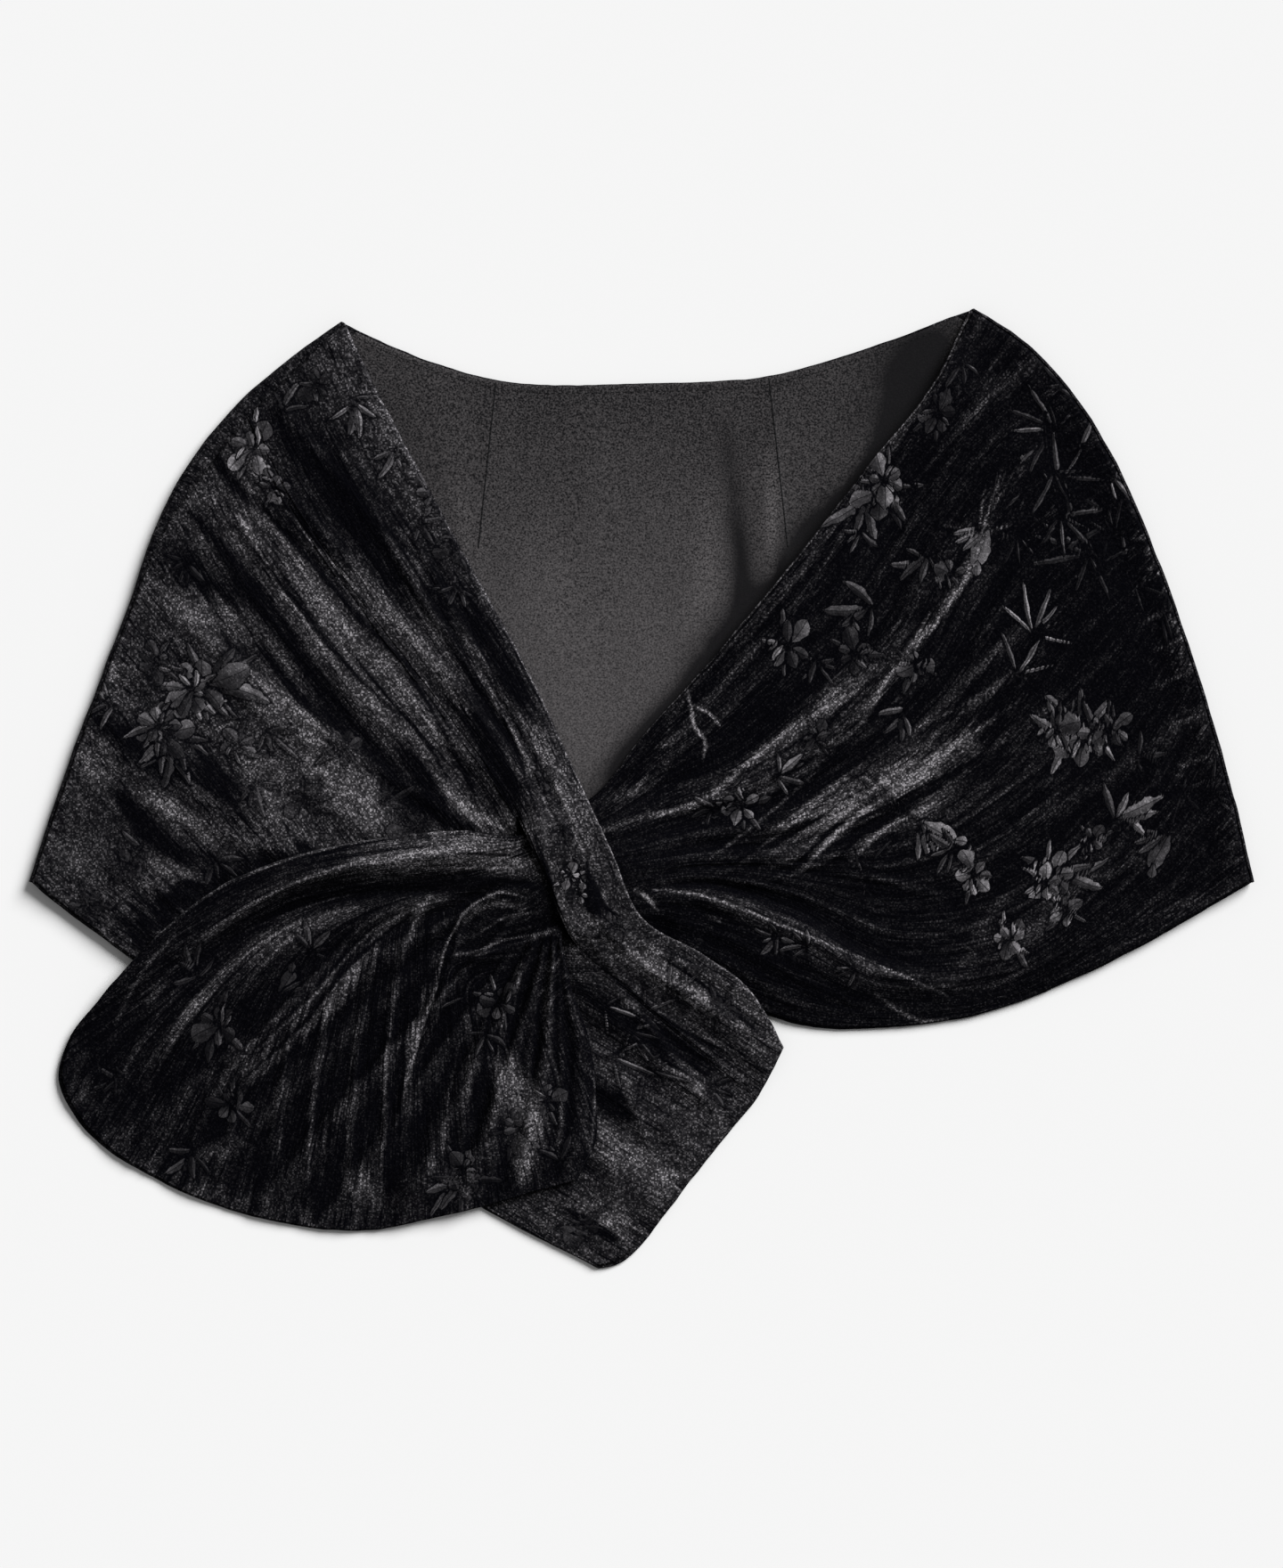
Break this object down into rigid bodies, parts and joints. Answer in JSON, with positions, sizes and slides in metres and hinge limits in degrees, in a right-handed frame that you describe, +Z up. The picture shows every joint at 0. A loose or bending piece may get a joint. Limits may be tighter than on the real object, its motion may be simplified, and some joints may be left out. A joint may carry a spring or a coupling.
{
  "type": "velvet shawl",
  "caption": "Lined velvet pull-through shawl laid flat: one front is drawn through a slit in the other and spreads as a fan.",
  "frame": {"origin": "on the surface that the shawl lies on, below the middle of its outline", "axes": "+X to the viewer's right across the shawl, +Y up towards its neckline, +Z up from the surface"},
  "size_m": [0.62, 0.486, 0.019],
  "materials": {
    "velvet": "black pressed velvet with a soft sheen",
    "lining": "dark grey satin-backed lining"
  },
  "bodies": {
    "root": {"back_panel": "velvet", "back_lining": "lining", "slit_front": "velvet", "pulled_front": "velvet", "pulled_end": "velvet"}
  },
  "joints": []
}
